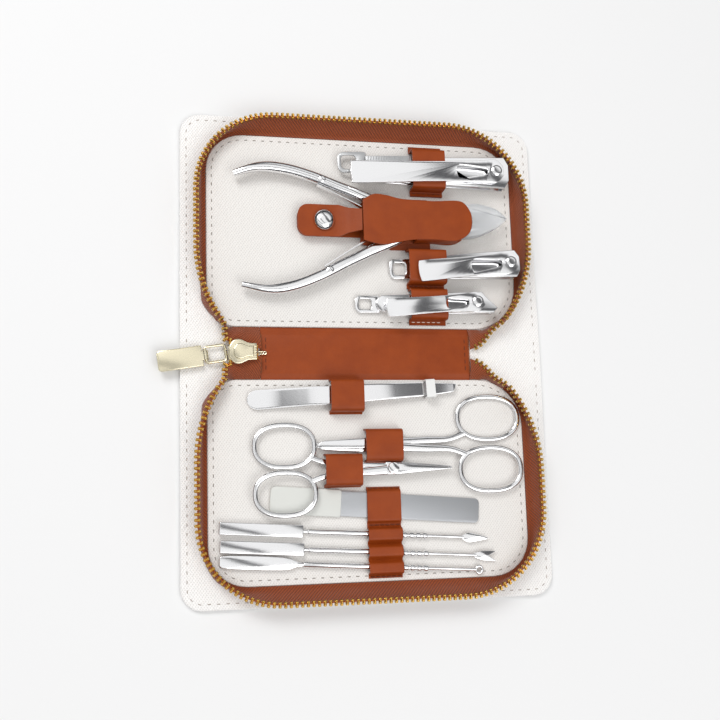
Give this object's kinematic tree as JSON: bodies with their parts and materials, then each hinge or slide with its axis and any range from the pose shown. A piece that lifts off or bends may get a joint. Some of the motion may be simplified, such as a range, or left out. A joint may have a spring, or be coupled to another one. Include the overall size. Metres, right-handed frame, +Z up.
{
  "type": "manicure set case",
  "caption": "Zip-round manicure case lying open, with nippers, clippers, scissors, tweezers, a file and double-ended tools under leather straps; the spine folds shut.",
  "frame": {"origin": "underside of the spine, at its middle", "axes": "+X along the spine, +Y towards the lid half, +Z up out of the open case"},
  "size_m": [0.1698, 0.211, 0.014],
  "materials": {
    "cover_leather": "cross-grain white leather",
    "panel_leather": "cross-grain off-white leather",
    "brown_leather": "smooth tan leather",
    "zip_tape": "twill woven tape",
    "zip_teeth": "bright",
    "zip_metal": "pale gold plate",
    "polished_steel": "polished",
    "file_steel": "etched grit",
    "file_grip": "satin",
    "white_sleeve": "translucent white",
    "clear_guard": "clear plastic"
  },
  "bodies": {
    "base": {"base_cover": "cover_leather", "base_panel": "panel_leather", "base_zip_tape": "zip_tape", "base_zip_teeth": "zip_teeth", "scissors_and_tweezers_loops": "brown_leather", "tool_strap": "brown_leather", "tweezers_lower_arm": "polished_steel", "blunt_scissors_fixed_half": "polished_steel", "pointed_scissors_fixed_half": "polished_steel", "scissors_screws": "polished_steel"},
    "spine": {"spine_cover": "cover_leather", "spine_band": "brown_leather", "spine_zip_tape": "zip_tape", "spine_zip_teeth": "zip_teeth"},
    "slider": {"zip_slider": "zip_metal"},
    "pull_link": {"zip_pull_link": "zip_metal"},
    "pull_tab": {"zip_pull_tab": "zip_metal"},
    "lid": {"lid_cover": "cover_leather", "lid_panel": "panel_leather", "lid_zip_tape": "zip_tape", "lid_zip_teeth": "zip_teeth", "nipper_sheath": "brown_leather", "nipper_snap_socket": "polished_steel", "nipper_tip_guard": "clear_guard", "nipper_strap": "brown_leather", "nipper_pivot_pin": "polished_steel", "large_clipper_lower_blade": "polished_steel", "large_clipper_rivet": "polished_steel", "large_clipper_file": "polished_steel", "large_clipper_strap": "brown_leather", "medium_clipper_lower_blade": "polished_steel", "medium_clipper_rivet": "polished_steel", "medium_clipper_strap": "brown_leather", "small_clipper_lower_blade": "polished_steel", "small_clipper_rivet": "polished_steel", "small_clipper_strap": "brown_leather"},
    "nipper_upper": {"nipper_upper_half": "polished_steel", "nipper_upper_spring": "polished_steel"},
    "nipper_lower": {"nipper_lower_half": "polished_steel", "nipper_lower_spring": "polished_steel"},
    "flap": {"nipper_flap": "brown_leather", "nipper_snap_cap": "polished_steel"},
    "large_upper": {"large_clipper_upper_blade": "polished_steel"},
    "large_lever": {"large_clipper_pin": "polished_steel", "large_clipper_lever": "polished_steel"},
    "medium_upper": {"medium_clipper_upper_blade": "polished_steel"},
    "medium_lever": {"medium_clipper_pin": "polished_steel", "medium_clipper_lever": "polished_steel"},
    "small_upper": {"small_clipper_upper_blade": "polished_steel"},
    "small_lever": {"small_clipper_pin": "polished_steel", "small_clipper_lever": "polished_steel"},
    "tweezers_upper": {"tweezers_upper_arm": "polished_steel"},
    "tweezers_sleeve": {"tweezers_sleeve": "white_sleeve"},
    "blunt_moving": {"blunt_scissors_moving_half": "polished_steel"},
    "pointed_moving": {"pointed_scissors_moving_half": "polished_steel"},
    "nail_file": {"nail_file_blade": "file_steel", "nail_file_handle": "file_grip"},
    "spear": {"spear_tool": "polished_steel"},
    "fork": {"fork_tool": "polished_steel"},
    "pusher": {"pusher_tool": "polished_steel"}
  },
  "joints": [
    {"name": "spine_fold", "type": "hinge", "parent": "base", "child": "spine", "pos_m": [0, -0.0095, 0.001], "axis": [1, 0, 0], "range_deg": [0, 90], "deforming": ["spine_zip_tape", "spine_zip_teeth"]},
    {"name": "lid_fold", "type": "hinge", "parent": "spine", "child": "lid", "pos_m": [0, 0.0095, 0.001], "axis": [1, 0, 0], "range_deg": [0, 90], "deforming": ["spine_zip_tape", "spine_zip_teeth"]},
    {"name": "slider_travel", "type": "slide", "parent": "spine", "child": "slider", "axis": [1, 0, 0], "range_m": [-0.003, 0], "deforming": ["spine_zip_tape", "spine_zip_teeth"]},
    {"name": "pull_link_lift", "type": "hinge", "parent": "slider", "child": "pull_link", "pos_m": [-0.0612, 0, 0.0042], "axis": [0.1478, -0.989, 0], "range_deg": [-80, 0]},
    {"name": "pull_tab_lift", "type": "hinge", "parent": "pull_link", "child": "pull_tab", "pos_m": [-0.06951, -0.00124, 0.0042], "axis": [0.1478, -0.989, 0], "range_deg": [-70, 0]},
    {"name": "nipper_upper_squeeze", "type": "hinge", "parent": "lid", "child": "nipper_upper", "pos_m": [0.0297, 0.0586, 0.008], "axis": [0, 0, -1], "range_deg": [-3.8, 0]},
    {"name": "nipper_lower_squeeze", "type": "hinge", "parent": "lid", "child": "nipper_lower", "pos_m": [0.0297, 0.0586, 0.008], "axis": [0, 0, 1], "range_deg": [-3.8, 0]},
    {"name": "flap_lift", "type": "hinge", "parent": "lid", "child": "flap", "pos_m": [-0.0022, 0.058, 0.01189], "axis": [0, -1, 0], "range_deg": [-60, 0]},
    {"name": "large_clipper_squeeze", "type": "hinge", "parent": "lid", "child": "large_upper", "pos_m": [-0.0037, 0.0824, 0.00525], "axis": [0, -1, 0], "range_deg": [-1.1, 0]},
    {"name": "large_lever_swing", "type": "hinge", "parent": "lid", "child": "large_lever", "pos_m": [0.06, 0.0824, 0.008], "axis": [0, 0, 1], "range_deg": [-170, 0]},
    {"name": "medium_clipper_squeeze", "type": "hinge", "parent": "lid", "child": "medium_upper", "pos_m": [0.01756, 0.03775, 0.00525], "axis": [0.0523, -0.9986, 0], "range_deg": [-1.5, 0]},
    {"name": "medium_lever_swing", "type": "hinge", "parent": "lid", "child": "medium_lever", "pos_m": [0.0644, 0.0402, 0.008], "axis": [0, 0, -1], "range_deg": [-18, 0]},
    {"name": "small_clipper_squeeze", "type": "hinge", "parent": "lid", "child": "small_upper", "pos_m": [0.00161, 0.02158, 0.00525], "axis": [0.0175, -0.9998, 0], "range_deg": [-1.4, 0]},
    {"name": "small_lever_swing", "type": "hinge", "parent": "lid", "child": "small_lever", "pos_m": [0.0486, 0.0224, 0.008], "axis": [0, 0, -1], "range_deg": [-90, 0]},
    {"name": "tweezers_squeeze", "type": "hinge", "parent": "base", "child": "tweezers_upper", "pos_m": [-0.0526, -0.0204, 0.005], "axis": [0.0593, -0.9982, 0], "range_deg": [-0.3, 0]},
    {"name": "tweezers_sleeve_slide", "type": "slide", "parent": "base", "child": "tweezers_sleeve", "axis": [-0.9982, -0.0593, 0], "range_m": [-0.012, 0]},
    {"name": "blunt_scissors_open", "type": "hinge", "parent": "base", "child": "blunt_moving", "pos_m": [0.0046, -0.0396, 0.005], "axis": [0, 0, 1], "range_deg": [-8, 0]},
    {"name": "pointed_scissors_open", "type": "hinge", "parent": "base", "child": "pointed_moving", "pos_m": [0.0086, -0.0496, 0.0065], "axis": [0, 0, -1], "range_deg": [-2.4, 0]},
    {"name": "nail_file_slide", "type": "slide", "parent": "base", "child": "nail_file", "axis": [0.9971, -0.0767, 0], "range_m": [-0.02, 0]},
    {"name": "spear_tool_slide", "type": "slide", "parent": "base", "child": "spear", "axis": [-0.9978, 0.0663, 0], "range_m": [-0.006, 0]},
    {"name": "fork_tool_slide", "type": "slide", "parent": "base", "child": "fork", "axis": [-0.9978, 0.0663, 0], "range_m": [-0.006, 0]},
    {"name": "pusher_tool_slide", "type": "slide", "parent": "base", "child": "pusher", "axis": [-0.9978, 0.0663, 0], "range_m": [-0.006, 0]}
  ],
  "couplings": [
    {"joint": "nipper_lower_squeeze", "follows": "nipper_upper_squeeze", "ratio": 1}
  ]
}
